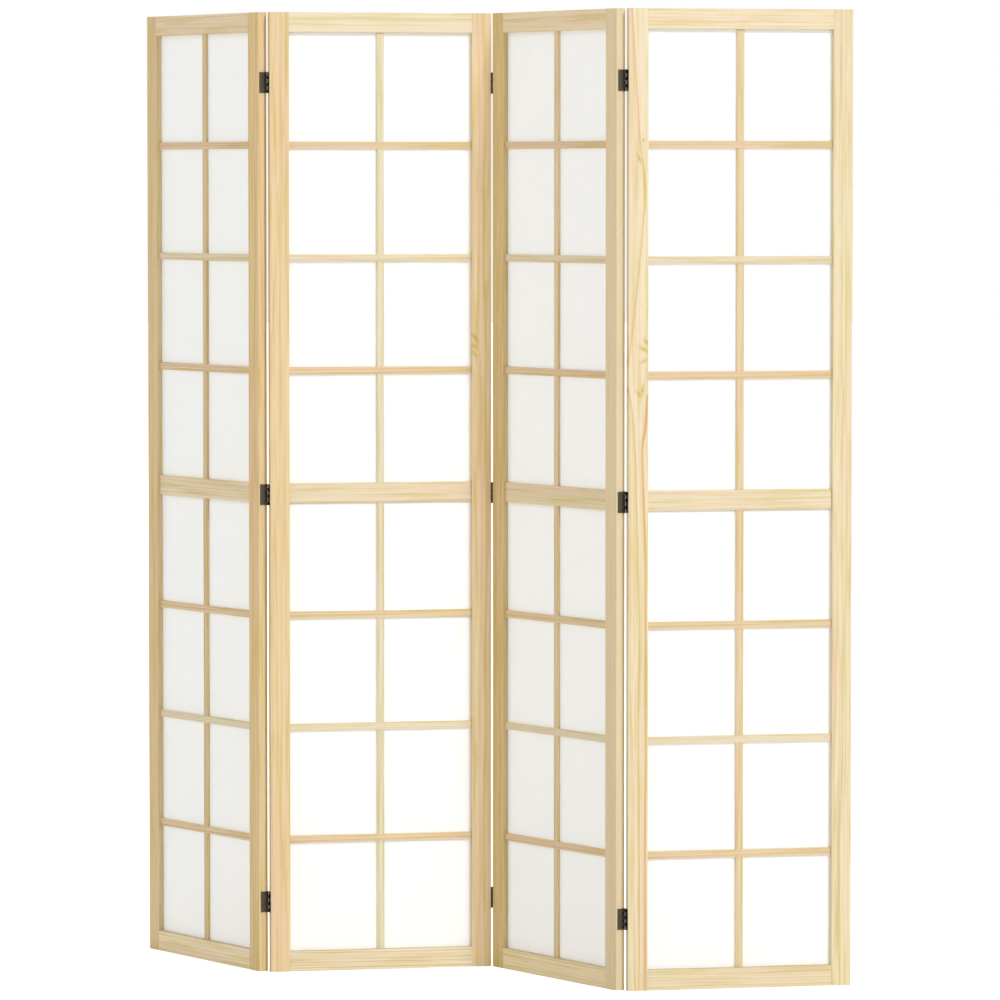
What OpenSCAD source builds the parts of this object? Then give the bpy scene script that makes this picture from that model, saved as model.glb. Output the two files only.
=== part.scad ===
// Four-panel folding screen: pine frames with a bar lattice in front of translucent sheets.
// The panels stand in a zigzag on their frames, three small butt hinges to a fold.
// Origin: middle of the plan's bounding box, on the floor. X runs along the screen,
// Y from the front to the back, Z up. Panels are numbered from the left.

/* [Panel] */
// Height of a panel
panel_h = 1700; // [1200:10:2100]
// Width of a panel over its two stiles
panel_w = 400; // [260:0.5:600]
// Thickness of a panel's frame, front to back
frame_t = 17.5; // [15:0.5:24]
// Width of a stile, seen from the front
stile_w = 35; // [30:0.5:60]
// Height of the top rail
top_rail_h = 35; // [30:0.5:60]
// Height of the middle rail
middle_rail_h = 35; // [30:0.5:60]
// Height of the bottom rail
bottom_rail_h = 36; // [30:0.5:80]
// Radius that eases the long edges of the frame
edge_r = 0.8; // [0.4:0.1:1.4]

/* [Lattice] */
// Distance of the middle rail and the bars behind the front face
lattice_recess = 5; // [2:0.5:6]
// Width of a lattice bar, seen from the front
bar_w = 13; // [8:0.5:18]
// Thickness of a lattice bar, front to back
bar_t = 5; // [3:0.5:5.5]
// Number of cross bars in each half of a panel
bars_in_half = 3; // [1:1:5]
// Depth of the pocket in a stile that takes a cross bar's end
pocket_d = 5; // [3:0.5:5.5]
// Depth of the mortise in a rail that takes an upright's tenon
tenon_d = 4; // [2:0.5:5]
// Radius that eases the front edges of a bar
bar_edge_r = 0.5; // [0.2:0.1:0.8]

/* [Sheets and beads] */
// Thickness of a sheet
sheet_t = 0.4; // [0.2:0.1:0.8]
// Width of the rebate that holds a sheet and its beads
rebate_w = 6; // [5.5:0.5:7]
// Width of the sheet's margin that lies on the rebate's ledge
sheet_lap = 5; // [3:0.5:5.5]
// Distance of the beads inside the back face
bead_inset = 0.6; // [0.2:0.1:1.5]
// Radius of a bead's rounded edge
bead_r = 2; // [0.5:0.1:3]

/* [Dowels] */
// Diameter of a rail dowel
dowel_d = 6; // [5:0.5:7]
// Length of a rail dowel
dowel_len = 40; // [24:1:52]
// Distance between the two dowels of a rail's end
dowel_spacing = 12; // [9:0.5:14]
// Width of the chamfer on a dowel's ends
dowel_chamfer = 0.8; // [0.2:0.1:1.5]

/* [Hinges] */
// Height of a hinge
hinge_h = 36.5; // [30:0.5:60]
// Distance of an outer hinge from the panel's end
hinge_inset = 105.5; // [40:0.5:200]
// Distance of the middle hinge's middle below the middle of the panel's height
middle_hinge_drop = 2; // [0:0.5:20]
// Width of a leaf from the pin's axis to its free edge
leaf_w = 15.4; // [10:0.1:15.5]
// Thickness of a leaf
leaf_t = 0.9; // [0.7:0.1:1.2]
// Depth that a leaf is let into the stile's end face
leaf_inlet = 0.8; // [0:0.1:0.9]
// Diameter of a hinge pin
pin_d = 1.9; // [1.5:0.1:3]
// Distance of the pin's axis outside the faces that fold together
pin_proud = 0.6; // [0.5:0.1:1.5]
// Number of knuckles, shared by the two leaves of a hinge
knuckles = 6; // [2:1:8]
// Distance that a pin's staked head stands out past the pin, all round
pin_head_rim = 0.55; // [0.3:0.05:0.8]
// Height of a pin's staked head
pin_head_h = 0.5; // [0.3:0.1:1]

/* [Screws] */
// Diameter of a hinge screw
screw_d = 2.4; // [2:0.1:3]
// Length of a hinge screw below its head
screw_len = 12; // [8:0.5:20]
// Diameter of a hinge screw's countersunk head
screw_head_d = 4.2; // [3.6:0.1:5]
// Distance between the two screws of a leaf
screw_spacing = 25; // [14:0.5:26]
// Depth of the cross recess in a screw's head
recess_d = 0.5; // [0.2:0.1:0.7]
// Width of the cross recess's arms
recess_w = 0.6; // [0.4:0.1:0.8]
// Length of the cross recess from tip to tip
recess_len = 2.5; // [1.6:0.1:2.8]

/* [Fold] */
// Angle that each fold is turned from the position with its panels in line
fold_angle = 70; // [20:0.2:110]

/* [Clearances] */
// Room round a bar's end, a tenon or a lap
lattice_gap = 0.05; // [0.02:0.01:0.2]
// Room round a dowel
dowel_gap = 0.05; // [0.02:0.01:0.2]
// Room between the ends of neighbouring beads
bead_gap = 0.1; // [0.05:0.05:0.5]
// Room past a dowel's end
dowel_end_gap = 1; // [0.5:0.1:3]
// Room between the pin and a knuckle's bore, all round
pin_gap = 0.05; // [0.02:0.01:0.1]
// Room between neighbouring knuckles, and under a pin's heads
knuckle_gap = 0.2; // [0.1:0.05:0.5]
// Room between a leaf's notch and the other leaf's knuckle
notch_gap = 0.3; // [0.2:0.05:0.8]
// Room round a leaf in its inlet, and past the pin's heads
inlet_gap = 0.1; // [0.05:0.05:0.3]
// Room round a screw
screw_gap = 0.05; // [0.02:0.01:0.1]

/* [Hidden] */
$fn = 48;
PANELS = [1, 2, 3, 4];
FOLDS = [1, 2, 3];
PANEL_PIECES = ["left_stile", "right_stile", "top_rail", "middle_rail", "bottom_rail", "uprights",
    "cross_bars", "upper_sheet", "lower_sheet", "beads", "dowels"];
FOLD_PIECES = ["left_leaves", "right_leaves", "pins", "left_screws", "right_screws"];
function panel_node(p, piece) = str("panel_", p, "_", piece);
function fold_node(f, piece) = str("fold_", f, "_", f + 1, "_", piece);

// Colours of the pine, the sheets and the bronzed steel
PINE = "#e6cb98";
BAR_PINE = "#ecd0a4";
SHEET = "#f7f6f2";
BRONZE = "#4b4538";
DARK_BRONZE = "#2a251a";

// Distance that a cutter runs past the face it cuts through
past = 1;

// The two openings of a panel, the lower and the upper one, with their cross bars evenly spaced
opening_w = panel_w - 2 * stile_w;
opening_h = (panel_h - top_rail_h - middle_rail_h - bottom_rail_h) / 2;
function opening_z(upper) = bottom_rail_h + (upper ? opening_h + middle_rail_h : 0);
function bar_z(upper, i) = opening_z(upper) + opening_h * i / (bars_in_half + 1);
top_rail_z = panel_h - top_rail_h;
middle_rail_z = opening_z(true) - middle_rail_h;

// Depths behind the front face: the half-laps, the sheet's front and the beads' front and back
lap_y = lattice_recess + bar_t / 2;
sheet_y = lattice_recess + bar_t;
bead_y = sheet_y + sheet_t;
bead_t = frame_t - bead_inset - bead_y;

// A leaf is let into the stile's end face and rolled round the pin, so its back and the inlet's
// floor are level with the outside of the knuckles. pin_out is how far the pin's axis stands
// outside the end face, so with the panels in line their end faces are twice that apart
bore_r = pin_d / 2 + pin_gap;
knuckle_r = bore_r + leaf_t;
pin_out = knuckle_r - leaf_inlet;
knuckle_pitch = hinge_h / knuckles;
pin_head_d = pin_d + 2 * pin_head_rim;
hinge_places = [
    hinge_inset,
    (panel_h - hinge_h) / 2 - middle_hinge_drop,
    panel_h - hinge_inset - hinge_h
];
screw_y = (leaf_w + knuckle_r) / 2;
// The first fold's hinges have their left leaf's knuckle on top, the others are the other way up
LEFT_LEAF_ON_TOP = [true, false, false];

// The first and last folds close towards the back, so their pins are there; the middle fold's
// pins are at the front
MIDDLE_FOLD = FOLDS[1];
function at_back(f) = f != MIDDLE_FOLD;
function pin_y(f) = at_back(f) ? frame_t + pin_proud : -pin_proud;
function fold_of(p, right) = right ? p : p - 1;
function has_fold(p, right) = right ? p < len(PANELS) : p > 1;

// Plan of the zigzag: each panel's left front corner, worked out from pin to pin, with the middle
// fold's pins at x = 0
function heading(p) = (p % 2 == 1 ? -1 : 1) * fold_angle / 2;
function turned(v, a) = [v[0] * cos(a) - v[1] * sin(a), v[0] * sin(a) + v[1] * cos(a)];
function left_pin(p) = turned([-pin_out, pin_y(p - 1)], heading(p));
function right_pin(p) = turned([panel_w + pin_out, pin_y(p)], heading(p));
function corner(p) = p == PANELS[0] ? [0, 0] : corner(p - 1) + right_pin(p - 1) - left_pin(p);
middle_pin = corner(MIDDLE_FOLD) + right_pin(MIDDLE_FOLD);
CORNERS = [for (p = PANELS) corner(p) - middle_pin];
EDGE_CENTRES_Y = [
    for (p = PANELS) for (x = [edge_r, panel_w - edge_r]) for (y = [edge_r, frame_t - edge_r])
        CORNERS[p - 1][1] + turned([x, y], heading(p))[1]
];
middle_y = (max(EDGE_CENTRES_Y) + min(EDGE_CENTRES_Y)) / 2;

// Places its children, which are drawn in a panel's own frame with its left front corner at 0
module in_panel(p) {
    translate([CORNERS[p - 1][0], CORNERS[p - 1][1] - middle_y, 0])
        rotate([0, 0, heading(p)])
            children();
}

// Turns a left-hand piece of a panel into a right-hand one
module on_side(right) {
    if (right) {
        translate([panel_w, 0, 0]) mirror([1, 0, 0]) children();
    } else {
        children();
    }
}

// A rectangle with its four corners rounded
module eased_rectangle(w, h, r) {
    translate([r, 0]) square([w - 2 * r, h]);
    translate([0, r]) square([w, h - 2 * r]);
    for (x = [r, w - r]) for (y = [r, h - r]) translate([x, y]) circle(r);
}

// A rectangle with only its two corners at the front, which is y = 0, rounded
module front_eased_rectangle(w, h, r) {
    translate([r, 0]) square([w - 2 * r, h]);
    translate([0, r]) square([w, h - r]);
    for (x = [r, w - r]) translate([x, r]) circle(r);
}

// A bar along X with a section drawn as [height, depth], its front at y = 0 and its foot at z = 0
module along_x(length) {
    translate([length, 0, 0]) rotate([0, -90, 0]) linear_extrude(length) children();
}

// The rebates at the back of both openings, cut into the stiles and the rails
module rebates() {
    for (upper = [false, true])
        translate([stile_w - rebate_w, sheet_y, opening_z(upper) - rebate_w])
            cube([opening_w + 2 * rebate_w, frame_t, opening_h + 2 * rebate_w]);
}

// The pockets for the cross bars' ends, open at the back
module bar_pockets() {
    pocket_h = bar_w + 2 * lattice_gap;
    for (upper = [false, true])
        for (i = [1 : bars_in_half])
            translate([stile_w - pocket_d, lattice_recess - lattice_gap, bar_z(upper, i) - pocket_h / 2])
                cube([pocket_d + past, bar_t + 2 * lattice_gap, pocket_h]);
}

// The mortises for the uprights' tenons, open at the back
module tenon_mortises() {
    for (upper = [false, true])
        translate([panel_w / 2 - bar_w / 2 - lattice_gap, lap_y - lattice_gap, opening_z(upper) - tenon_d])
            cube([bar_w + 2 * lattice_gap, bar_t / 2 + 2 * lattice_gap, opening_h + 2 * tenon_d]);
}

// The places of a panel's dowels on its left side: depth and height
dowel_places = [
    for (rail = [
        [frame_t / 2, bottom_rail_h / 2],
        [(lattice_recess + frame_t) / 2, middle_rail_z + middle_rail_h / 2],
        [frame_t / 2, top_rail_z + top_rail_h / 2]
    ]) for (side = [-1, 1]) [rail[0], rail[1] + side * dowel_spacing / 2]
];

// The bores for the dowels of one side, half in the stile and half in the rails
module dowel_bores() {
    bore_len = dowel_len + 2 * dowel_end_gap;
    for (place = dowel_places)
        translate([stile_w - bore_len / 2, place[0], place[1]])
            rotate([0, 90, 0]) cylinder(h = bore_len, r = dowel_d / 2 + dowel_gap);
}

// Moves its children to every hinge of a fold, as seen from its left or its right panel, with
// the pin's axis along Z and the panel's end face at x = -pin_out, its front towards -Y
module at_hinges(f, right_leaf) {
    for (z = hinge_places)
        in_panel(right_leaf ? f + 1 : f) at_hinge(f, right_leaf, z) children();
}

module at_hinge(f, right_leaf, z) {
    translate([right_leaf ? -pin_out : panel_w + pin_out, pin_y(f), z])
        mirror([right_leaf ? 1 : 0, 0, 0]) mirror([0, at_back(f) ? 0 : 1, 0])
            children();
}

// Moves its children to both screws of a leaf, with the screw's axis along X into the wood
module at_screws() {
    for (side = [-1, 1])
        translate([-knuckle_r, -screw_y, hinge_h / 2 + side * screw_spacing / 2])
            rotate([0, 90, 0])
                children();
}

module stile(p, right) {
    color(PINE) on_side(right) difference() {
        linear_extrude(panel_h) eased_rectangle(stile_w, frame_t, edge_r);
        rebates();
        bar_pockets();
        dowel_bores();
        if (has_fold(p, right)) on_side(right) {
            leaf_inlets(fold_of(p, right), !right);
            screw_holes(fold_of(p, right), !right);
        }
    }
}

// Shallow inlets for the leaves in a stile's end face, open at the pin and with room for its heads
module leaf_inlets(f, right_leaf) {
    room = knuckle_gap + pin_head_h + inlet_gap;
    for (z = hinge_places)
        at_hinge(f, right_leaf, z)
            translate([-knuckle_r, -leaf_w - inlet_gap, -room])
                cube([knuckle_r, leaf_w + inlet_gap, hinge_h + 2 * room]);
}

// Pilot holes in the inlets' floors
module screw_holes(f, right_leaf) {
    for (z = hinge_places)
        at_hinge(f, right_leaf, z) at_screws()
            translate([0, 0, -screw_len - screw_gap])
                cylinder(h = screw_len + screw_gap + past, r = screw_d / 2 + screw_gap);
}

// A rail between the stiles, from a depth to the back face
module rail(z, h, depth) {
    color(PINE) difference() {
        translate([stile_w, depth, z])
            along_x(opening_w) eased_rectangle(h, frame_t - depth, edge_r);
        rebates();
        tenon_mortises();
        for (right = [false, true]) on_side(right) dowel_bores();
    }
}

// The two uprights, one to an opening, with a tenon at each end and a notch for each cross bar
module uprights() {
    tenon_len = tenon_d - lattice_gap;
    notch_h = bar_w + 2 * lattice_gap;
    color(BAR_PINE) for (upper = [false, true])
        translate([(panel_w - bar_w) / 2, 0, opening_z(upper)]) {
            difference() {
                translate([0, lattice_recess, 0])
                    linear_extrude(opening_h) front_eased_rectangle(bar_w, bar_t, bar_edge_r);
                for (i = [1 : bars_in_half]) {
                    notch_z = bar_z(upper, i) - opening_z(upper) - notch_h / 2;
                    translate([-past, lattice_recess - past, notch_z])
                        cube([bar_w + 2 * past, bar_t / 2 + past, notch_h]);
                }
            }
            translate([0, lap_y, -tenon_len]) cube([bar_w, bar_t / 2, tenon_len]);
            translate([0, lap_y, opening_h]) cube([bar_w, bar_t / 2, tenon_len]);
        }
}

// The cross bars, half-lapped over the uprights
module cross_bars() {
    bar_len = opening_w + 2 * (pocket_d - lattice_gap);
    notch_w = bar_w + 2 * lattice_gap;
    color(BAR_PINE) for (upper = [false, true]) for (i = [1 : bars_in_half])
        translate([(panel_w - bar_len) / 2, lattice_recess, bar_z(upper, i) - bar_w / 2])
            difference() {
                along_x(bar_len) front_eased_rectangle(bar_w, bar_t, bar_edge_r);
                translate([(bar_len - notch_w) / 2, bar_t / 2, -past])
                    cube([notch_w, bar_t, bar_w + 2 * past]);
            }
}

// The sheet behind one opening's lattice, held by its margin
module sheet(upper) {
    color(SHEET)
        translate([stile_w - sheet_lap, sheet_y, opening_z(upper) - sheet_lap])
            cube([opening_w + 2 * sheet_lap, sheet_t, opening_h + 2 * sheet_lap]);
}

// A bead's section: its outer side at x = 0, its front at y = 0 and a rounded inner back edge
module bead_section() {
    r = min(bead_r, bead_t / 2);
    square([rebate_w, bead_t - r]);
    square([rebate_w - r, bead_t]);
    translate([rebate_w - r, bead_t - r]) circle(r);
}

// The beads that hold the sheets: two across and, between them, two upright ones to an opening
module beads() {
    across = opening_w + 2 * rebate_w;
    upright = opening_h - 2 * bead_gap;
    color(PINE) for (upper = [false, true])
        translate([stile_w - rebate_w, bead_y, opening_z(upper) - rebate_w]) {
            along_x(across) bead_section();
            translate([0, 0, opening_h + 2 * rebate_w]) mirror([0, 0, 1]) along_x(across) bead_section();
            translate([0, 0, rebate_w + bead_gap]) {
                linear_extrude(upright) bead_section();
                translate([across, 0, 0]) mirror([1, 0, 0]) linear_extrude(upright) bead_section();
            }
        }
}

// The glued dowels that join the rails to the stiles
module dowels() {
    color(BAR_PINE) for (right = [false, true]) on_side(right) for (place = dowel_places)
        translate([stile_w - dowel_len / 2, place[0], place[1]]) rotate([0, 90, 0]) dowel();
}

module dowel() {
    r = dowel_d / 2;
    cylinder(h = dowel_chamfer, r1 = r - dowel_chamfer, r2 = r);
    translate([0, 0, dowel_chamfer]) cylinder(h = dowel_len - 2 * dowel_chamfer, r = r);
    translate([0, 0, dowel_len - dowel_chamfer]) cylinder(h = dowel_chamfer, r1 = r, r2 = r - dowel_chamfer);
}

// A leaf's section across the pin: the plate and the roll round the bore
module leaf_section() {
    difference() {
        union() {
            translate([-knuckle_r, -leaf_w]) square([leaf_t, leaf_w]);
            circle(knuckle_r);
        }
        circle(bore_r);
    }
}

// One leaf, with its plate at the left and the other leaf's knuckles cut away
module leaf(on_top) {
    difference() {
        linear_extrude(hinge_h) leaf_section();
        for (i = [0 : knuckles - 1]) if (((knuckles - 1 - i) % 2 == 0) != on_top)
            translate([-knuckle_r - past, -knuckle_r - notch_gap, i * knuckle_pitch - knuckle_gap / 2])
                cube([2 * (knuckle_r + past), 2 * (knuckle_r + past), knuckle_pitch + knuckle_gap]);
        at_screws() head_cone(screw_gap);
    }
}

// The countersunk head's cone, from the wood to the leaf's face, with room round it
module head_cone(room) {
    cylinder(h = leaf_t, r1 = screw_d / 2 + room, r2 = screw_head_d / 2 + room);
}

module leaves(f, right_leaf) {
    color(right_leaf ? DARK_BRONZE : BRONZE)
        at_hinges(f, right_leaf) leaf(right_leaf != LEFT_LEAF_ON_TOP[f - 1]);
}

// The pins, with a staked head at each end
module pins(f) {
    color(BRONZE) at_hinges(f, false) {
        translate([0, 0, -knuckle_gap]) cylinder(h = hinge_h + 2 * knuckle_gap, d = pin_d);
        translate([0, 0, -knuckle_gap - pin_head_h]) cylinder(h = pin_head_h, d = pin_head_d);
        translate([0, 0, hinge_h + knuckle_gap]) cylinder(h = pin_head_h, d = pin_head_d);
    }
}

// A countersunk screw along Z, its head's face at leaf_t and its point below
module screw() {
    point_h = screw_d;
    difference() {
        union() {
            head_cone(0);
            translate([0, 0, point_h - screw_len]) cylinder(h = screw_len - point_h, d = screw_d);
            translate([0, 0, -screw_len]) cylinder(h = point_h, r1 = 0, r2 = screw_d / 2);
        }
        for (a = [0, 90])
            rotate([0, 0, a])
                translate([-recess_len / 2, -recess_w / 2, leaf_t - recess_d])
                    cube([recess_len, recess_w, recess_d + past]);
    }
}

module screws(f, right_leaf) {
    color(right_leaf ? DARK_BRONZE : BRONZE) at_hinges(f, right_leaf) at_screws() screw();
}

for (p = PANELS) {
    in_panel(p) stile(p, false);
    in_panel(p) stile(p, true);
    in_panel(p) rail(top_rail_z, top_rail_h, 0);
    in_panel(p) rail(middle_rail_z, middle_rail_h, lattice_recess);
    in_panel(p) rail(0, bottom_rail_h, 0);
    in_panel(p) uprights();
    in_panel(p) cross_bars();
    in_panel(p) sheet(true);
    in_panel(p) sheet(false);
    in_panel(p) beads();
    in_panel(p) dowels();
}
for (f = FOLDS) {
    leaves(f, false);
    leaves(f, true);
    pins(f);
    screws(f, false);
    screws(f, true);
}
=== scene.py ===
import math
from functools import partial

import bpy
from mathutils import Euler, Matrix, Vector


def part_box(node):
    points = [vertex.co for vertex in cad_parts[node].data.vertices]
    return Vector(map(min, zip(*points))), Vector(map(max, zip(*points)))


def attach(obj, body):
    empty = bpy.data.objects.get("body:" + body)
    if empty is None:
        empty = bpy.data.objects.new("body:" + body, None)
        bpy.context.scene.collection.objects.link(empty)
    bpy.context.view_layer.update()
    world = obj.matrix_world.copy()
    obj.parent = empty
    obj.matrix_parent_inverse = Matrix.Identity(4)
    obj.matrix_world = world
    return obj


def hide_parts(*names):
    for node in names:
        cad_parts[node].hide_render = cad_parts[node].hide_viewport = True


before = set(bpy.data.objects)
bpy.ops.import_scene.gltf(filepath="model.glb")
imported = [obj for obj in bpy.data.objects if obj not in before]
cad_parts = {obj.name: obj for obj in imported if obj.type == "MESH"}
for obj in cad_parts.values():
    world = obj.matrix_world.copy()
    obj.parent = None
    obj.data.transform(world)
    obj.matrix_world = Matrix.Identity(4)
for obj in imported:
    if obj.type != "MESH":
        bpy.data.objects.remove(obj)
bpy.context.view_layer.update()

# The camera. The photograph was taken from the right of the screen and from far off, about 1.4 m
# above the floor, with a long lens that looks down a little.
CAMERA_TURN = math.radians(22.586)
CAMERA_DIP = 0.05184
camera_data = bpy.data.cameras.new("camera")
camera_data.sensor_width = 36
camera_data.lens = 225.19
camera_data.clip_end = 60
camera = bpy.data.objects.new("camera", camera_data)
camera.location = (4.2888, -10.1652, 1.4125)
camera.rotation_euler = (math.radians(90) - CAMERA_DIP, 0, CAMERA_TURN)
bpy.context.scene.collection.objects.link(camera)
bpy.context.scene.camera = camera

# The stiles. Each panel's frame is of planed pine with a clear matt lacquer. Its two stiles run from
# the floor to the top, and their grain with them: fine, straight growth lines, here and there a
# flame or a knot. Each stile is cut from its own place in the log.
PANELS = (1, 2, 3, 4)
FOLD_ANGLE = math.radians(70)
PANEL_WIDTH = 0.4
PANEL_HEIGHT = 1.7
STILE_WIDTH = 0.035
# How far the middle of a sheet's thickness lies behind the panel's front
SHEET_DEPTH = 0.0102


def heading(panel):
    """The way a panel runs in plan: the odd ones turn towards the viewer, the even ones away"""
    return (-1 if panel % 2 else 1) * FOLD_ANGLE / 2


def panel_corner(panel):
    """A panel's left front corner on the floor, worked out from the middle of its upper sheet"""
    low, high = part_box(f"panel_{panel}_upper_sheet")
    middle = (low + high) / 2
    return Vector((middle.x, middle.y, 0)) - Matrix.Rotation(heading(panel), 3, "Z") @ Vector(
        (PANEL_WIDTH / 2, SHEET_DEPTH, 0))


def shade(hex_code):
    """A colour as it is written for a screen, turned to the linear values that a shader takes"""
    parts = [int(hex_code[i:i + 2], 16) / 255 for i in (1, 3, 5)]
    return [*(p / 12.92 if p <= 0.04045 else ((p + 0.055) / 1.055) ** 2.4 for p in parts), 1]


def add_node(tree, kind, inputs=None, **settings):
    """Adds a shader node with its settings. An input is given a value, an output that it is linked
    to, or a node, whose first output it is linked to"""
    node = tree.nodes.new("ShaderNode" + kind)
    for name, value in settings.items():
        setattr(node, name, value)
    for socket, value in (inputs or {}).items():
        if isinstance(value, bpy.types.Node):
            value = value.outputs[0]
        if isinstance(value, bpy.types.NodeSocket):
            tree.links.new(value, node.inputs[socket])
        else:
            node.inputs[socket].default_value = value
    return node


def wear(node, material):
    """Gives a CAD node one material all over"""
    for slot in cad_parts[node].material_slots:
        slot.material = material


# The two parts of a winding ring's line, a thin dark edge and a soft gold band on its left: how far
# aside it lies, its breadth, how strong it is and its tint
RING_LINE = ((0.0, 0.0014, 0.8, "#e6cba0"), (-0.0022, 0.0030, 0.5, "#f6eccb"))
# The unevenness of a trunk: the size of its waves over, into and along the log, and their reach
TRUNK_WAVES = (((0.05, 0.05, 0.55), 0.012), ((0.012, 0.012, 0.14), 0.0016))
# How far apart in the log the pieces that share a node may be cut
CUTS_APART = (0.03, 0.012, 0.8)
# How many times as long as it is wide a knot's heart is
HEART_LENGTH = 2.4
# How far from its long edges a stile's face ends
FACE_MARGIN = 0.0002


# Pine, planed and lacquered: pale spring wood and thin, darker summer wood in rings round the pith.
# The rings are a solid pattern round a line that runs along the board, so they meet at its edges, and
# a board's faces show them as lines, or as flames where the line of the pith leans.
def pine(name, panel, start, along, pith, ring, early, late, lean=(0, 0), figure=1.0, streak=0.45,
         swirls=(), flames=(), courses=(), piece_step=0, upright_run=None, ledge=0):
    """A board's material. along is "up" or "across"; start is the board's corner and pith the place
    of the rings' centre, both in metres in the panel's own frame, the second measured over the face
    and into the depth. ring is a year's growth, early and late are its two woods, and lean is the
    pith's slope in radians. figure says how strongly the rings show, and streak the finer lines
    between them. swirls, flames and courses are the branches, the yellow flames and the winding
    rings, as in the stiles' tables. Where a node holds several pieces, piece_step is the height of
    the layers that are cut from different places. upright_run is for beads: from half to half, the
    lower half's middle, and how far from it the upright ones reach. ledge is the height above which
    a rail's top is tinted darker, a painted shade where the sheet stands over it"""
    material = bpy.data.materials.new(name)
    material.use_nodes = True
    tree = material.node_tree
    add = partial(add_node, tree)
    board = Matrix.Rotation(-heading(panel), 3, "Z")
    if along == "across":
        board = Matrix.Rotation(-math.pi / 2, 3, "Y") @ board
    grain = Euler((lean[1], -lean[0], 0)).to_matrix() @ board
    corner = panel_corner(panel) + Matrix.Rotation(heading(panel), 3, "Z") @ Vector(start)
    centre = corner + board.transposed() @ Vector((pith[0], pith[1], 0))

    # Metres over the board's face, into its depth and along it; then the same round the pith's line
    place = add("TexCoord").outputs["Object"]
    height = add("SeparateXYZ", {0: place}).outputs["Z"]
    on_face = add("Mapping", {
        "Vector": place, "Rotation": board.to_euler(), "Location": -(board @ corner)})
    rings = add("Mapping", {
        "Vector": place, "Rotation": grain.to_euler(), "Location": -(grain @ centre)})
    if piece_step:
        # Pieces that share a node are cut from different places: each step up moves the pattern
        step = add("Math", {0: height, 1: piece_step}, operation="DIVIDE")
        step = add("Math", {0: step}, operation="FLOOR")
        shift = add("TexWhiteNoise", {"W": step}, noise_dimensions="1D").outputs["Color"]
        shift = add("VectorMath", {0: shift, 1: CUTS_APART}, operation="MULTIPLY")
        rings = add("VectorMath", {0: rings, 1: shift}, operation="ADD")
    if upright_run:
        # Outside the upright beads' run in each half the beads lie level, and the pattern is turned
        # to run along them
        half_step, middle, reach = upright_run
        half = add("Math", {
            0: height, 1: middle + half_step / 2, 2: middle - half_step / 2}, operation="WRAP")
        upright = add("Math", {0: half, 1: middle, 2: reach}, operation="COMPARE")
        level = add("Mapping", {"Vector": rings, "Rotation": (0, -math.pi / 2, 0)})
        rings = add("Mix", {0: upright, 4: level, 5: rings}, data_type="VECTOR").outputs[1]

    def stretched_noise(size, detail=2.0, roughness=0.5):
        """Noise whose grains are about this long each way, in metres: over, into and along the log"""
        spread = add("VectorMath", {0: rings, 1: [1 / s for s in size]}, operation="MULTIPLY")
        return add("TexNoise", {"Vector": spread, "Scale": 1.0, "Detail": detail, "Roughness": roughness})

    # The radius from the pith, with the slow waves of a trunk that grew unevenly
    flat = add("VectorMath", {0: rings, 1: (1, 1, 0)}, operation="MULTIPLY")
    radius = add("VectorMath", {0: flat}, operation="LENGTH").outputs["Value"]
    for size, reach in TRUNK_WAVES:
        wave = add("Math", {0: stretched_noise(size), 1: 0.5}, operation="SUBTRACT")
        radius = add("Math", {0: wave, 1: reach, 2: radius}, operation="MULTIPLY_ADD")

    def nearness(over, up, wide, tall, turn=0.0):
        """1 at a place on the board's face, falling off softly to this far over it and along it"""
        off = add("Mapping", {
            "Vector": on_face, "Location": (over, 0, up), "Rotation": (0, turn, 0),
            "Scale": (wide, 1, tall)}, vector_type="TEXTURE")
        off = add("VectorMath", {0: off, 1: off}, operation="DOT_PRODUCT").outputs["Value"]
        off = add("Math", {0: off, 1: -1.0}, operation="MULTIPLY")
        return add("Math", {0: off}, operation="EXPONENT")

    # A branch pushes the rings aside: rise is how far they bulge, and core the size of its darker heart
    knots = None
    for over, up, wide, tall, rise, core in swirls:
        near = nearness(over, up, wide, tall)
        radius = add("Math", {0: near, 1: rise, 2: radius}, operation="MULTIPLY_ADD")
        if core:
            heart = nearness(over, up, core, core * HEART_LENGTH)
            knots = heart if knots is None else add("Math", {0: knots, 1: heart}, operation="MAXIMUM")
    # Beside a branch some summer wood lies flat in the face and shows as a yellow flame
    resin = None
    for over, up, wide, tall, turn, depth in flames:
        near = nearness(over, up, wide, tall, turn)
        flame = add("Math", {0: near, 1: depth}, operation="MULTIPLY")
        resin = flame if resin is None else add("Math", {0: resin, 1: flame}, operation="MAXIMUM")

    # Rings of uneven width, each with summer wood that darkens slowly and ends at once
    years = add("Math", {0: radius, 1: ring}, operation="DIVIDE")
    drift = add("TexNoise", {"W": years, "Scale": 0.4, "Detail": 1.0}, noise_dimensions="1D")
    years = add("Math", {0: drift, 1: 1.6, 2: years}, operation="MULTIPLY_ADD")
    year = add("Math", {0: years}, operation="FRACT")
    darkening = add("MapRange", {
        "Value": year, "From Min": 0.30, "From Max": 0.90, "To Min": 0.0, "To Max": 1.0},
        interpolation_type="SMOOTHSTEP")
    ending = add("MapRange", {
        "Value": year, "From Min": 0.90, "From Max": 1.0, "To Min": 1.0, "To Max": 0.0},
        interpolation_type="SMOOTHSTEP")
    summer = add("Math", {0: darkening, 1: ending}, operation="MULTIPLY")
    # Each year's summer wood has its own strength
    year = add("Math", {0: years}, operation="FLOOR")
    depth = add("TexWhiteNoise", {"W": year}, noise_dimensions="1D").outputs["Value"]
    depth = add("Math", {0: depth, 1: 0.50 * figure, 2: 0.22 * figure}, operation="MULTIPLY_ADD")
    summer = add("Math", {0: summer, 1: depth}, operation="MULTIPLY")
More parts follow.
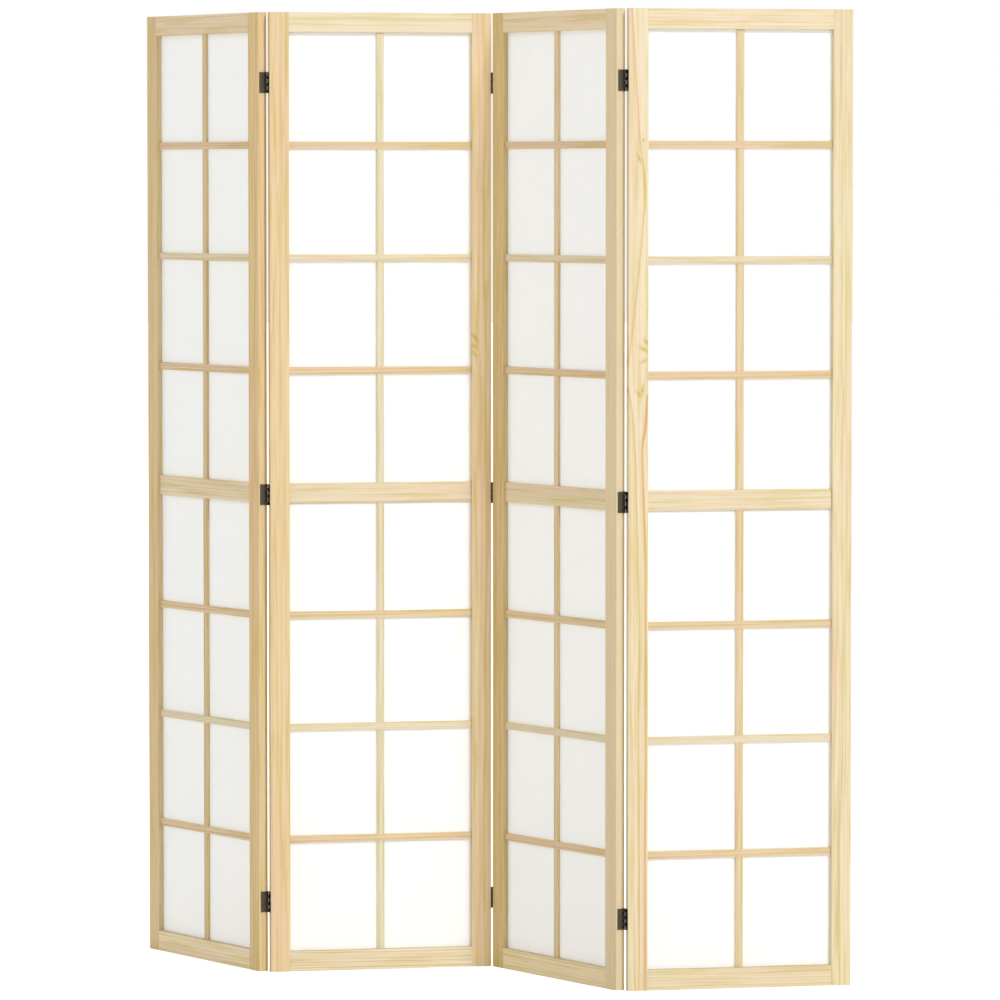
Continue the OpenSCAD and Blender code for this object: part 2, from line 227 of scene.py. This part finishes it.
    # Streaks 3 mm and 0.5 mm wide, and resin canals: dark dashes under 0.7 mm wide and 10 mm long
    streaks = stretched_noise((0.003, 0.003, 0.20), 3.0, 0.6)
    streaks = add("Math", {0: streaks, 1: 0.5}, operation="SUBTRACT")
    fibres = stretched_noise((0.0005, 0.0005, 0.03), 2.0, 0.7)
    fine_streaks = add("Math", {0: fibres, 1: 0.5}, operation="SUBTRACT")
    canals = add("MapRange", {
        "Value": stretched_noise((0.0007, 0.0007, 0.010), 0.0), "From Min": 0.74, "From Max": 0.80,
        "To Min": 0.0, "To Max": 0.35})
    amount = add("Math", {0: streaks, 1: streak, 2: summer}, operation="MULTIPLY_ADD")
    amount = add("Math", {0: fine_streaks, 1: 0.30, 2: amount}, operation="MULTIPLY_ADD")
    amount = add("Math", {0: amount, 1: canals}, operation="ADD")
    amount = add("Clamp", {0: amount})
    wood = add("Mix", {0: amount, 6: shade(early), 7: shade(late)}, data_type="RGBA").outputs[2]
    # Streaks that are yellower, and broad patches where the wood is a little pinker
    for size, low, high, tint in (((0.006, 0.006, 0.16), 0.46, 0.66, "#f2f1d6"),
                                  ((0.020, 0.020, 0.35), 0.42, 0.66, "#fff8fe")):
        tinted = add("MapRange", {
            "Value": stretched_noise(size), "From Min": low, "From Max": high,
            "To Max": min(1.0, 3 * figure)})
        wood = add("Mix", {0: tinted, 6: wood, 7: shade(tint)},
                   data_type="RGBA", blend_type="MULTIPLY").outputs[2]
    # The rings that wind round the branches, each along its own course up the face
    spot = add("SeparateXYZ", {0: on_face}).outputs
    for strength, course in courses:
        curve = add("FloatCurve", {
            "Value": add("Math", {0: spot["Z"], 1: PANEL_HEIGHT}, operation="DIVIDE")})
        curve.mapping.extend = "EXTRAPOLATED"
        points = curve.mapping.curves[0].points
        while len(points) < len(course):
            points.new(0.5, 0.5)
        for point, (up, over) in zip(points, course):
            # The curve's range holds half a stile's width more on either side
            point.location = (up / PANEL_HEIGHT, (over / STILE_WIDTH + 0.5) / 2)
        curve.mapping.update()
        middle = add("Math", {0: curve, 1: 2 * STILE_WIDTH, 2: -0.5 * STILE_WIDTH},
                     operation="MULTIPLY_ADD")
        off = add("Math", {0: spot["X"], 1: middle}, operation="SUBTRACT")
        for aside, breadth, depth, tint in RING_LINE:
            share = add("Math", {0: off, 1: aside}, operation="SUBTRACT")
            share = add("Math", {0: share, 1: breadth}, operation="DIVIDE")
            share = add("Math", {0: share, 1: share}, operation="MULTIPLY")
            share = add("Math", {0: share, 1: -1.0}, operation="MULTIPLY")
            share = add("Math", {0: share}, operation="EXPONENT")
            share = add("Math", {0: share, 1: depth * strength}, operation="MULTIPLY")
            wood = add("Mix", {0: share, 6: wood, 7: shade(tint)},
                       data_type="RGBA", blend_type="MULTIPLY").outputs[2]
    if along == "up" and not piece_step:
        # Painted shade: a stile's long edge faces are tinted a little darker and greyer than its face
        edge = add("Math", {0: spot["X"], 1: STILE_WIDTH / 2}, operation="SUBTRACT")
        edge = add("Math", {0: edge}, operation="ABSOLUTE")
        edge = add("Math", {0: edge, 1: STILE_WIDTH / 2 - FACE_MARGIN}, operation="GREATER_THAN")
        wood = add("Mix", {0: edge, 6: wood, 7: shade("#f5f9ff")},
                   data_type="RGBA", blend_type="MULTIPLY").outputs[2]
    if ledge:
        # Painted shade: above the ledge height the rail's top, over which the sheet stands, is tinted
        # darker
        ledge_shade = add("Math", {0: height, 1: ledge}, operation="GREATER_THAN")
        wood = add("Mix", {0: ledge_shade, 6: wood, 7: shade("#d6d7de")},
                   data_type="RGBA", blend_type="MULTIPLY").outputs[2]
    if resin is not None:
        wood = add("Mix", {0: resin, 6: wood, 7: shade("#e6de8e")},
                   data_type="RGBA", blend_type="MULTIPLY").outputs[2]
    if knots is not None:
        wood = add("Mix", {0: knots, 6: wood, 7: shade("#c4a876")}, data_type="RGBA").outputs[2]

    # The matt lacquer is thin, so the fibres' relief still shows, and the summer wood as fine grooves
    relief = add("Math", {0: summer, 1: -0.6, 2: fibres}, operation="MULTIPLY_ADD")
    bump = add("Bump", {"Height": relief, "Strength": 0.5, "Distance": 0.00006})
    polish = add("Math", {0: fibres, 1: 0.14, 2: 0.46}, operation="MULTIPLY_ADD")
    surface = tree.nodes["Principled BSDF"]
    surface.inputs["Specular IOR Level"].default_value = 0.08
    tree.links.new(wood, surface.inputs["Base Color"])
    tree.links.new(polish.outputs[0], surface.inputs["Roughness"])
    tree.links.new(bump.outputs[0], surface.inputs["Normal"])
    return material


# For each stile: where the pith lies over the face and into the depth, how wide the rings are, how
# the pith leans, and how strongly the rings and the streaks show
STILES = {
    (1, "left"): ((-0.060, 0.030), 0.0082, (0.004, 0.003), 0.30, 0.30),
    (1, "right"): ((-0.045, 0.050), 0.0078, (0.003, -0.004), 0.45, 0.40),
    (2, "left"): ((0.090, 0.020), 0.0090, (-0.003, 0.004), 0.45, 0.40),
    (2, "right"): ((-0.035, 0.045), 0.0075, (0.004, 0.006), 0.50, 0.40),
    (3, "left"): ((-0.050, 0.045), 0.0066, (0.003, 0.002), 0.50, 0.35),
    (3, "right"): ((-0.070, 0.020), 0.0075, (0.002, 0.005), 0.12, 0.40),
    (4, "left"): ((-0.026, 0.036), 0.0066, (-0.004, 0.010), 0.45, 0.25),
    (4, "right"): ((0.002, 0.034), 0.0038, (0.001, 0.002), 1.00, 0.35),
}
# The branches: the place over the face and up it, the width and the length of the bulge that they
# make in the rings, how high it is, and the size of the heart, or none where it doesn't show
SWIRLS = {
    (2, "left"): ((0.006, 1.18, 0.006, 0.05, 0.006, 0.0),),
    (2, "right"): ((0.002, 1.110, 0.006, 0.030, 0.006, 0.0),),
    (4, "left"): (
        (0.0256, 1.4734, 0.0050, 0.024, 0.004, 0.0013),
        (0.034, 1.120, 0.013, 0.070, 0.016, 0.0),
        (0.012, 0.52, 0.008, 0.060, 0.006, 0.0)),
}
# The yellow flames: the place over the face and up it, the width, the length, the turn and the depth
FLAMES = {
    (2, "right"): (
        (0.0050, 1.1255, 0.0028, 0.0095, -0.61, 1.00),
        (0.0043, 1.1092, 0.0024, 0.0065, -0.92, 0.75),
        (0.0046, 1.0948, 0.0028, 0.0070, -0.75, 0.75),
        (0.0240, 1.2081, 0.0022, 0.0180, -0.02, 0.60)),
    (4, "left"): (
        (0.0192, 1.4403, 0.0026, 0.0090, -0.45, 0.90),
        (0.0306, 1.1259, 0.0030, 0.0070, -0.69, 0.95),
        (0.0263, 1.1130, 0.0036, 0.0095, -1.06, 0.90),
        (0.0265, 1.0923, 0.0034, 0.0075, 0.99, 0.70),
        (0.0244, 1.0410, 0.0028, 0.0130, 0.17, 1.00),
        (0.0183, 1.0346, 0.0028, 0.0080, -0.50, 0.85),
        (0.0302, 0.9883, 0.0020, 0.0320, 0.09, 0.50),
        (0.0271, 1.4003, 0.0018, 0.0320, -0.06, 0.45)),
}
# The winding rings: how strongly each shows, and places up the face and over it
COURSES = {
    (4, "left"): (
        (0.65, ((1.129, 0.0049), (1.179, 0.0109), (1.214, 0.0145), (1.26, 0.0193), (1.296, 0.0228),
                (1.343, 0.0265), (1.375, 0.0293), (1.424, 0.0264), (1.461, 0.0213), (1.525, 0.0165))),
        (1.15, ((0.054, 0.0309), (0.313, 0.0302), (0.443, 0.0315), (0.627, 0.0305), (0.769, 0.0298),
                (0.84, 0.0272), (0.899, 0.0249), (0.936, 0.0241), (0.974, 0.0301), (1.02, 0.0325),
                (1.039, 0.0387))),
        (0.75, ((0.054, 0.0195), (0.211, 0.0198), (0.313, 0.0186), (0.428, 0.0178), (0.61, 0.019),
                (0.674, 0.0186), (0.745, 0.0165), (0.841, 0.0139), (0.912, 0.0126), (0.975, 0.009),
                (1.034, 0.0014)))),
}
# Spring wood and summer wood
TONES = {
    (1, "left"): ("#ebd2a2", "#c39663"),
    (1, "right"): ("#efd5a1", "#e0ae77"),
    (2, "left"): ("#ead3a7", "#dbaf83"),
    (2, "right"): ("#edd8af", "#d5a96d"),
    (3, "left"): ("#e6cc96", "#d2aa6f"),
    (3, "right"): ("#f1dcb4", "#e4c599"),
    (4, "left"): ("#f3e4c2", "#ddbb8a"),
    (4, "right"): ("#f0e0bb", "#ddc49a"),
}
for (panel, side), (pith, ring, lean, figure, streak) in STILES.items():
    start = (0 if side == "left" else PANEL_WIDTH - STILE_WIDTH, 0, 0)
    wear(f"panel_{panel}_{side}_stile",
         pine(f"pine stile {panel} {side}", panel, start, "up", pith, ring, *TONES[panel, side],
              lean=lean, figure=figure, streak=streak, swirls=SWIRLS.get((panel, side), ()),
              flames=FLAMES.get((panel, side), ()), courses=COURSES.get((panel, side), ())))

# The rails. Three to a panel, dowelled between the stiles: the top and the bottom one flush with
# them, the middle one set back with the lattice. Their grain lies level, in a few fine lines.
RAIL_FOOTS = {"top_rail": 1.665, "middle_rail": 0.833, "bottom_rail": 0.0}
RAIL_TONES = {
    (1, "top_rail"): ("#f6e4c0", "#dfc19c"),
    (1, "middle_rail"): ("#f4e4be", "#dec29b"),
    (1, "bottom_rail"): ("#ffeec9", "#e8caa4"),
    (2, "top_rail"): ("#f2e5c6", "#dfbe9d"),
    (2, "middle_rail"): ("#eadbbb", "#d7b694"),
    (2, "bottom_rail"): ("#ece1bf", "#d9ba98"),
    (3, "top_rail"): ("#f7e4bf", "#e8cda5"),
    (3, "middle_rail"): ("#f0e0b9", "#e2c9a0"),
    (3, "bottom_rail"): ("#fcebc2", "#edd3a8"),
    (4, "top_rail"): ("#f5e4c4", "#dec29d"),
    (4, "middle_rail"): ("#f0e2c0", "#dac19a"),
    (4, "bottom_rail"): ("#f0e1be", "#dac098"),
}
# How strongly the rings show in each panel's top, middle and bottom rail
RAIL_FIGURES = {1: (1.15, 0.75, 1.0), 2: (0.4, 0.7, 1.4), 3: (0.45, 0.6, 1.0), 4: (0.75, 0.85, 0.8)}
# Just under the top of the bottom rails: above it their top is tinted darker as painted shade
BOTTOM_LEDGE = 0.0358
for panel in PANELS:
    for place, (rail, foot) in enumerate(RAIL_FOOTS.items()):
        # The pith's place, the rings and the lean go through a few values, so that rails near each
        # other differ
        pith = (0.055 + 0.011 * ((panel * 3 + place * 5) % 7), 0.025 + 0.004 * ((panel + place * 2) % 5))
        ring = 0.0052 + 0.0004 * ((panel + place) % 4)
        figure = RAIL_FIGURES[panel][place]
        wear(f"panel_{panel}_{rail}",
             pine(f"pine {rail.replace('_', ' ')} {panel}", panel, (STILE_WIDTH, 0, foot), "across",
                  pith, ring, *RAIL_TONES[panel, rail],
                  lean=(0.004 - 0.002 * ((panel + place) % 4), 0.004), figure=figure,
                  streak=0.45 * figure, ledge=BOTTOM_LEDGE if rail == "bottom_rail" else 0))

# The lattice. Narrow pine strips, set 5 mm behind the face: cross bars halved over one upright in
# each opening. Their wood is a little pinker than the frame's, but for each half's middle bar.
BAR_TONES = {
    ("across", 1): ("#f3e4c5", "#ccbb8e"),
    ("across", 2): ("#ebe0c1", "#d6b596"),
    ("across", 3): ("#f0e1c0", "#e2caa5"),
    ("across", 4): ("#ecdfc1", "#e0c9a5"),
    ("up", 1): ("#ebd8a9", "#c7977a"),
    ("up", 2): ("#e7e2c7", "#dabb8c"),
    ("up", 3): ("#f5dfb7", "#d3ad88"),
    ("up", 4): ("#ead5b0", "#debf96"),
}
BAR_RING = 0.0040
# No two cross bars stand in one of these steps, and the halves part in the middle rail
BAR_STEP = 0.1
HALVES_PART = 0.8515
# The height of the lower opening's middle bar, and how far the upper opening is above the lower one
MIDDLE_BAR = 0.4345
HALF_STEP = 0.832
for panel in PANELS:
    for node, along, step in (("cross_bars", "across", BAR_STEP), ("uprights", "up", HALVES_PART)):
        strips = pine(f"pine {node.replace('_', ' ')} {panel}", panel, (STILE_WIDTH, 0, 0), along,
                      (0.04, 0.03), BAR_RING, *BAR_TONES[along, panel], piece_step=step)
        if along == "across":
            # The middle bar of each half is the paler wood; the others are a little redder
            add = partial(add_node, strips.node_tree)
            base = strips.node_tree.nodes["Principled BSDF"].inputs["Base Color"]
            height = add("SeparateXYZ", {0: add("TexCoord").outputs["Object"]}).outputs["Z"]
            height = add("Math", {0: height, 1: HALF_STEP}, operation="MODULO")
            middle = add("Math", {0: height, 1: MIDDLE_BAR, 2: BAR_STEP / 2}, operation="COMPARE")
            redder = add("Math", {0: 1.0, 1: middle}, operation="SUBTRACT")
            wood = add("Mix", {0: redder, 6: base.links[0].from_socket, 7: shade("#fbf0e3")},
                       data_type="RGBA", blend_type="MULTIPLY").outputs[2]
            strips.node_tree.links.new(wood, base)
        wear(f"panel_{panel}_{node}", strips)

# The beads and the dowels. Rounded pine beads are pressed in behind the sheets: the level ones run
# right across and the upright ones stand between them. The dowels don't show.
BEAD_RING = 0.0036
# Half the length of the upright beads' run
UPRIGHT_REACH = 0.3985
for panel in PANELS:
    beads = pine(f"pine beads {panel}", panel, (0, 0, 0), "up", (0.05, 0.04), BEAD_RING,
                 *RAIL_TONES[panel, "top_rail"], piece_step=HALVES_PART,
                 upright_run=(HALF_STEP, MIDDLE_BAR, UPRIGHT_REACH))
    wear(f"panel_{panel}_beads", beads)
    wear(f"panel_{panel}_dowels", beads)

# The sheets. A tough white paper with a matt face, one behind each half of the lattice, cut 5 mm
# larger all round than its opening and held flat by the beads. Light from behind comes through it.
SHEET_SIZE = (0.34, 0.807)
SHEET_THICKNESS = 0.0004
SHEET_SLACK = 0.0002


def sheet_paper(name):
    """Long-fibred paper: matt, a little clouded by its close fibres, with nearly half of the light
    going through"""
    material = bpy.data.materials.new(name)
    material.use_nodes = True
    tree = material.node_tree
    add = partial(add_node, tree)
    place = add("TexCoord").outputs["Object"]
    # Clouds about 17 mm across and fibres about 2 mm apart
    clouds = add("TexNoise", {
        "Vector": place, "Scale": 60.0, "Detail": 4.0, "Roughness": 0.6, "Distortion": 0.8})
    fibres = add("TexNoise", {
        "Vector": place, "Scale": 420.0, "Detail": 2.0, "Roughness": 0.7, "Distortion": 2.5})
    cover = add("Math", {0: clouds, 1: fibres}, operation="MULTIPLY")
    cover = add("MapRange", {
        "Value": cover, "From Min": 0.10, "From Max": 0.42, "To Min": 0.0, "To Max": 1.0})
    white = add("Mix", {0: cover, 6: shade("#fbfbfa"), 7: shade("#fefefd")}, data_type="RGBA").outputs[2]
    bump = add("Bump", {"Height": fibres, "Strength": 0.4, "Distance": 0.00005})
    surface = tree.nodes["Principled BSDF"]
    surface.inputs["Roughness"].default_value = 0.75
    surface.inputs["Specular IOR Level"].default_value = 0.2
    tree.links.new(white, surface.inputs["Base Color"])
    tree.links.new(bump.outputs[0], surface.inputs["Normal"])
    through = add("BsdfTranslucent", {"Color": white, "Normal": bump})
    both = add("MixShader", {0: 0.45, 1: surface, 2: through})
    tree.links.new(both.outputs[0], tree.nodes["Material Output"].inputs["Surface"])
    return material


paper = sheet_paper("shoji paper")
for panel in PANELS:
    for half in ("upper", "lower"):
        node = f"panel_{panel}_{half}_sheet"
        low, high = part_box(node)
        bpy.ops.object.select_all(action="DESELECT")
        bpy.ops.mesh.primitive_grid_add(x_subdivisions=34, y_subdivisions=80, size=1)
        piece = bpy.context.object
        piece.name = f"panel_{panel}_{half}_paper"
        for vertex in piece.data.vertices:
            over, up = vertex.co.x, vertex.co.y
            # Between its held edges a stretched sheet stands back a little, in other places in each
            # panel
            free = max(0.0, 1 - (2 * over) ** 6) * max(0.0, 1 - (2 * up) ** 8)
            wave = 0.5 + 0.5 * math.sin(7 * over + 2.1 * panel + 3 * up) * math.cos(9 * up + panel - over)
            vertex.co = (over * SHEET_SIZE[0], SHEET_SLACK * free * wave, up * SHEET_SIZE[1])
        piece.matrix_world = Matrix.Translation((low + high) / 2) @ Matrix.Rotation(heading(panel), 4, "Z")
        bpy.ops.object.transform_apply(location=True, rotation=True, scale=True)
        skin = piece.modifiers.new("skin", "SOLIDIFY")
        skin.thickness = SHEET_THICKNESS
        skin.offset = 0
        bpy.ops.object.modifier_apply(modifier="skin")
        bpy.ops.object.mode_set(mode="EDIT")
        bpy.ops.mesh.select_all(action="SELECT")
        bpy.ops.mesh.normals_make_consistent(inside=False)
        bpy.ops.object.mode_set(mode="OBJECT")
        bpy.ops.object.shade_smooth_by_angle(angle=math.radians(30))
        piece.data.materials.append(paper)
        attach(piece, f"panel_{panel}")
        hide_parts(node)

# The hinges. Three small butt hinges to a fold, of steel strip rolled round a pin and plated a dark
# antique bronze, let into the stiles' end faces and held by two countersunk screws to a leaf. The
# right leaves, their screws and the pins get a darker copy of the finish, a painted shade.
BARREL_RADIUS = 0.0029
# A painted highlight along the knuckles, a pale strip: how far its middle is turned from the front,
# how far from there it ends, and how far it is bright all over
HIGHLIGHT_SIDE = math.radians(25)
HIGHLIGHT_END = math.radians(34)
HIGHLIGHT_FULL = math.radians(14)


def bronzed_steel(name, base, metal, gloss, roughness, pin=None, highlight_way=1):
    """Steel with a dark bronze plating, brushed and dulled: a satin grey-brown that is lighter where
    the plating is thin. Round a pin's axis it is painted darker, a painted shade and dark
    reflection, and a painted highlight runs as a pale strip along the knuckles, on their front, or on
    their back where the way given for it is -1"""
    material = bpy.data.materials.new(name)
    material.use_nodes = True
    tree = material.node_tree
    add = partial(add_node, tree)
    place = add("TexCoord").outputs["Object"]
    # Patches 6 mm across, and brush marks 0.25 mm wide and 3 mm long
    patches = add("TexNoise", {"Vector": place, "Scale": 180.0, "Detail": 4.0, "Roughness": 0.6})
    brushed = add("VectorMath", {0: place, 1: (4000, 4000, 300)}, operation="MULTIPLY")
    brushed = add("TexNoise", {"Vector": brushed, "Scale": 1.0, "Detail": 2.0})
    colour = add("Mix", {0: patches, 6: shade(base[0]), 7: shade(base[1])}, data_type="RGBA").outputs[2]
    if pin is not None:
        from_pin = add("VectorMath", {0: place, 1: pin}, operation="SUBTRACT")
        from_pin = add("VectorMath", {0: from_pin, 1: (1, 1, 0)}, operation="MULTIPLY")
        reach = add("VectorMath", {0: from_pin}, operation="LENGTH").outputs["Value"]
        # Painted shade and dark reflection: round a pin's axis the knuckles are painted near black
        barrel_shade = add("Math", {0: reach, 1: BARREL_RADIUS}, operation="LESS_THAN")
        colour = add("Mix", {0: barrel_shade, 6: colour, 7: shade("#1f1b17")}, data_type="RGBA").outputs[2]
        outward = add("VectorMath", {0: from_pin}, operation="NORMALIZE")
        # A painted highlight: a pale strip along the knuckles' outside, turned from the front
        painted_highlight = add("VectorMath", {
            0: outward, 1: (highlight_way * math.sin(HIGHLIGHT_SIDE), -highlight_way * math.cos(HIGHLIGHT_SIDE), 0)},
            operation="DOT_PRODUCT").outputs["Value"]
        painted_highlight = add("MapRange", {
            "Value": painted_highlight, "From Min": math.cos(HIGHLIGHT_END), "From Max": math.cos(HIGHLIGHT_FULL),
            "To Min": 0.0, "To Max": 1.0}, interpolation_type="SMOOTHSTEP")
        colour = add("Mix", {0: painted_highlight, 6: colour, 7: shade("#b0ad9f")}, data_type="RGBA").outputs[2]
    dull = add("MapRange", {
        "Value": patches, "From Min": 0.3, "From Max": 0.7, "To Min": roughness - 0.06,
        "To Max": roughness + 0.08})
    bump = add("Bump", {"Height": brushed, "Strength": 0.3, "Distance": 0.00003})
    surface = tree.nodes["Principled BSDF"]
    surface.inputs["Metallic"].default_value = metal
    surface.inputs["Specular IOR Level"].default_value = gloss
    tree.links.new(colour, surface.inputs["Base Color"])
    tree.links.new(dull.outputs[0], surface.inputs["Roughness"])
    tree.links.new(bump.outputs[0], surface.inputs["Normal"])
    return material


# A darker copy of the bronzed steel: painted shade for the right leaves, their screws and the pins
shaded_bronze = bronzed_steel("shaded bronzed steel", ("#14110e", "#1b1713"), 0.0, 0.5, 0.18)
for fold in ("fold_1_2", "fold_2_3", "fold_3_4"):
    low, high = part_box(f"{fold}_pins")
    # The middle fold's knuckles stand at the front of the screen, and their painted highlight is at the
    # back
    bronze = bronzed_steel(f"bronzed steel {fold}", ("#585042", "#605849"), 0.10, 0.5, 0.30,
                           pin=(low + high) / 2, highlight_way=-1 if fold == "fold_2_3" else 1)
    wear(f"{fold}_left_leaves", bronze)
    wear(f"{fold}_left_screws", bronze)
    wear(f"{fold}_right_leaves", shaded_bronze)
    wear(f"{fold}_right_screws", shaded_bronze)
    wear(f"{fold}_pins", shaded_bronze)

# The studio. A plain white floor without an edge in view, and a white backdrop that also lights the
# sheets from behind, while the room before the screen is darker. The main lamp is a soft one on the
# right of the camera; a weak one stands on the left and one behind the screen.
FLOOR_SIZE = 400
bpy.ops.object.select_all(action="DESELECT")
bpy.ops.mesh.primitive_plane_add(size=FLOOR_SIZE, location=(0, 0, 0))
floor = bpy.context.object
floor.name = "floor"
floor_paint = bpy.data.materials.new("white floor")
floor_paint.use_nodes = True
tree = floor_paint.node_tree
add = partial(add_node, tree)
surface = tree.nodes["Principled BSDF"]
surface.inputs["Base Color"].default_value = shade("#eeeeec")
surface.inputs["Roughness"].default_value = 0.9
surface.inputs["Specular IOR Level"].default_value = 0.0
# The camera sees it as white as the backdrop, but for the object's shadow
path = add("LightPath").outputs
lift = add("Math", {0: path["Is Camera Ray"], 1: 0.60}, operation="MULTIPLY")
glow = add("Emission", {"Color": shade("#ffffff"), "Strength": lift})
both = add("AddShader", {0: surface, 1: glow})
tree.links.new(both.outputs[0], tree.nodes["Material Output"].inputs["Surface"])
floor.data.materials.append(floor_paint)

world = bpy.data.worlds.new("white studio")
world.use_nodes = True
bpy.context.scene.world = world
tree = world.node_tree
add = partial(add_node, tree)
# To look at, straight or in a reflection, the backdrop is white all round
path = add("LightPath").outputs
seen = add("Math", {0: path["Is Camera Ray"], 1: path["Is Glossy Ray"]}, operation="MAXIMUM")
seen = add("Math", {0: seen, 1: path["Is Transmission Ray"]}, operation="MAXIMUM")
# It lights the screen fully from the backdrop's side and weakly from the room's
toward = add("VectorMath", {
    0: add("TexCoord").outputs["Generated"], 1: (-math.sin(CAMERA_TURN), math.cos(CAMERA_TURN), 0)},
    operation="DOT_PRODUCT").outputs["Value"]
room = add("MapRange", {
    "Value": toward, "From Min": -0.3, "From Max": 0.6, "To Min": 0.24, "To Max": 1.0},
    interpolation_type="SMOOTHSTEP")
strength = add("Math", {0: room, 1: seen}, operation="MAXIMUM")
tree.nodes["Background"].inputs["Color"].default_value = shade("#ffffff")
tree.links.new(strength.outputs[0], tree.nodes["Background"].inputs["Strength"])

LAMP_DISTANCE = 6


def add_lamp(name, turn, lift, breadth, share):
    """A far soft lamp aimed at the screen. turn is its angle to the right of the camera as the screen
    sees it, lift its height angle, breadth the angle that it fills, and share the light that it gives
    a white face turned to it"""
    data = bpy.data.lights.new(name, "SUN")
    data.angle = math.radians(breadth)
    data.energy = share * math.pi
    lamp = bpy.data.objects.new(name, data)
    way = CAMERA_TURN + math.radians(turn)
    rise = math.radians(lift)
    reach = Vector((math.sin(way) * math.cos(rise), -math.cos(way) * math.cos(rise), math.sin(rise)))
    lamp.location = Vector((0, 0, PANEL_HEIGHT / 2)) + LAMP_DISTANCE * reach
    lamp.rotation_euler = reach.to_track_quat("Z", "Y").to_euler()
    bpy.context.scene.collection.objects.link(lamp)


add_lamp("side lamp", 35, 32, 10, 0.56)
add_lamp("left lamp", -55, 35, 40, 0.15)
add_lamp("back lamp", 170, 30, 30, 0.33)

bpy.context.scene.view_settings.view_transform = "Standard"
bpy.context.view_layer.update()
